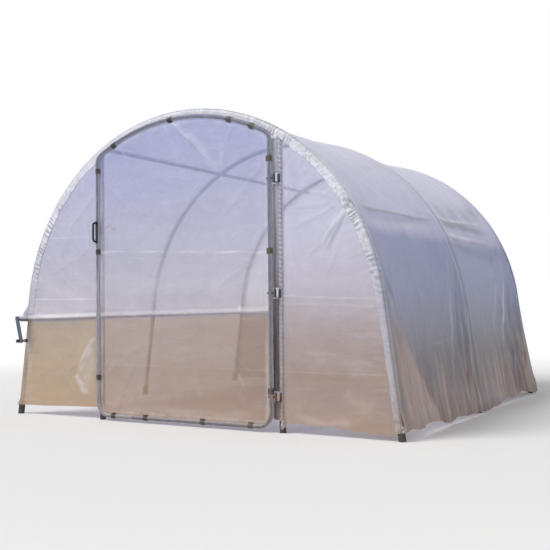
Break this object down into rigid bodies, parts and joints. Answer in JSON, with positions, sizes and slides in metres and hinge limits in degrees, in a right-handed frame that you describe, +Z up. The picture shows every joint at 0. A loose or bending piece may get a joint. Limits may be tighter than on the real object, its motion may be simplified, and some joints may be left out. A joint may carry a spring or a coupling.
{
  "type": "polytunnel greenhouse",
  "caption": "Small walk-in polytunnel greenhouse: steel hoops under translucent film, a hinged film door at one end and one rolled-up side with a hand crank.",
  "frame": {"origin": "on the ground under the middle of the tunnel's bounding box", "axes": "+X across the tunnel to the right seen from the door end, +Y along it from the door to the rear, +Z up"},
  "size_m": [3.6382, 3.82, 2.4805],
  "materials": {
    "film": "translucent polythene film",
    "hoop_steel": "dull galvanised",
    "clamp_steel": "dull galvanised",
    "door_steel": "weathered galvanised",
    "rusty_iron": "rusty",
    "brown_clips": "matt",
    "black_plastic": "satin black",
    "dark_rubber": "matt",
    "crank_steel": "satin"
  },
  "bodies": {
    "tunnel": {"film_roll": "film", "foot_cups": "dark_rubber", "front_hem": "film", "front_left_panel": "film", "front_right_panel": "film", "hinge_brackets": "rusty_iron", "left_crown_film": "film", "left_door_post": "hoop_steel", "left_haunch_film": "film", "left_hoop_bows": "hoop_steel", "left_hoop_legs": "hoop_steel", "left_purlin": "hoop_steel", "left_purlin_clamps": "clamp_steel", "post_hook": "rusty_iron", "post_wrap": "film", "rear_hem": "film", "rear_panel": "film", "right_crown_film": "film", "right_door_post": "hoop_steel", "right_haunch_film": "film", "right_hoop_bows": "hoop_steel", "right_hoop_legs": "hoop_steel", "right_purlin": "hoop_steel", "right_purlin_clamps": "clamp_steel", "right_wall_film": "film", "roll_bar": "hoop_steel"},
    "door": {"door_frame": "door_steel", "door_film": "film", "door_clips": "brown_clips", "hinge_eyes": "rusty_iron", "door_handle": "black_plastic"},
    "crank": {"crank_shaft": "crank_steel", "crank_arm": "crank_steel", "crank_grip": "crank_steel"}
  },
  "joints": [
    {"name": "door_hinge", "type": "hinge", "parent": "tunnel", "child": "door", "pos_m": [0.826, -1.7964, 0], "axis": [0, 0, 1], "range_deg": [0, 120]},
    {"name": "crank_turn", "type": "hinge", "parent": "tunnel", "child": "crank", "pos_m": [-1.72497, -1.75, 0.83737], "axis": [0, 1, 0], "continuous": true}
  ]
}
